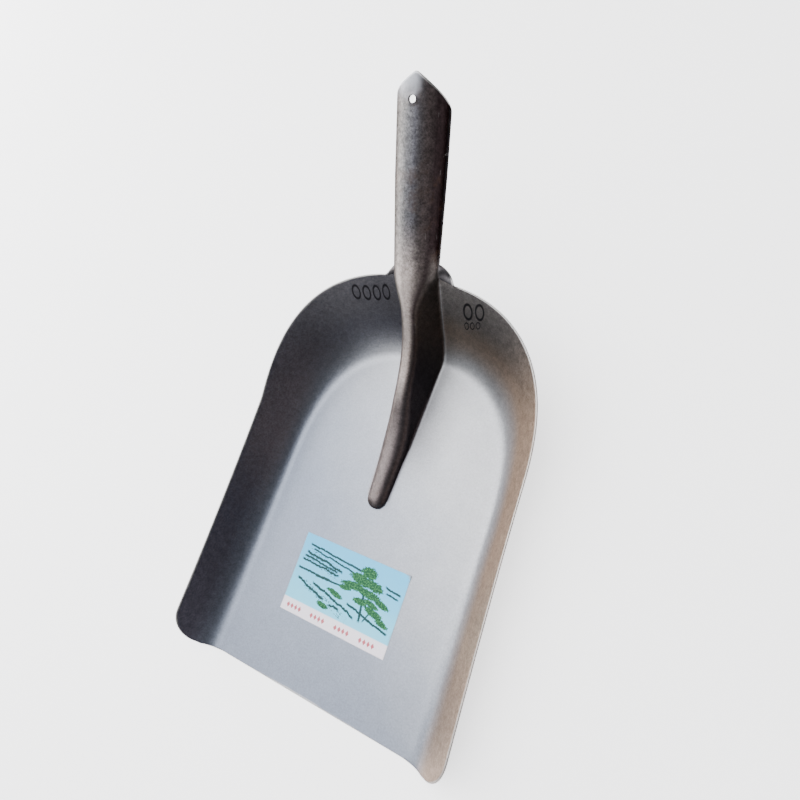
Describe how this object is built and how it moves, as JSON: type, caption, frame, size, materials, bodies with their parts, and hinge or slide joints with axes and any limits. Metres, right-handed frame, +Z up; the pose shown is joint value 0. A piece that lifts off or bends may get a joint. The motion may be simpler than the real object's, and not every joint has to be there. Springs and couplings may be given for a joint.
{
  "type": "grain scoop shovel head",
  "caption": "Pressed steel grain scoop with an upturned rim, rounded shoulders, a central ridge and a rolled handle socket, with a paper label on the floor.",
  "frame": {"origin": "middle of the flat floor's underside, on which the scoop rests", "axes": "+Y from the cutting edge to the handle socket, +Z up from the ground, +X across the pan"},
  "size_m": [0.2718, 0.4649, 0.1956],
  "materials": {
    "steel": "satin, with brown and blue heat tint",
    "paper": "printed paper"
  },
  "bodies": {
    "root": {"shovel_head": "steel", "paper_label": "paper"}
  },
  "joints": []
}
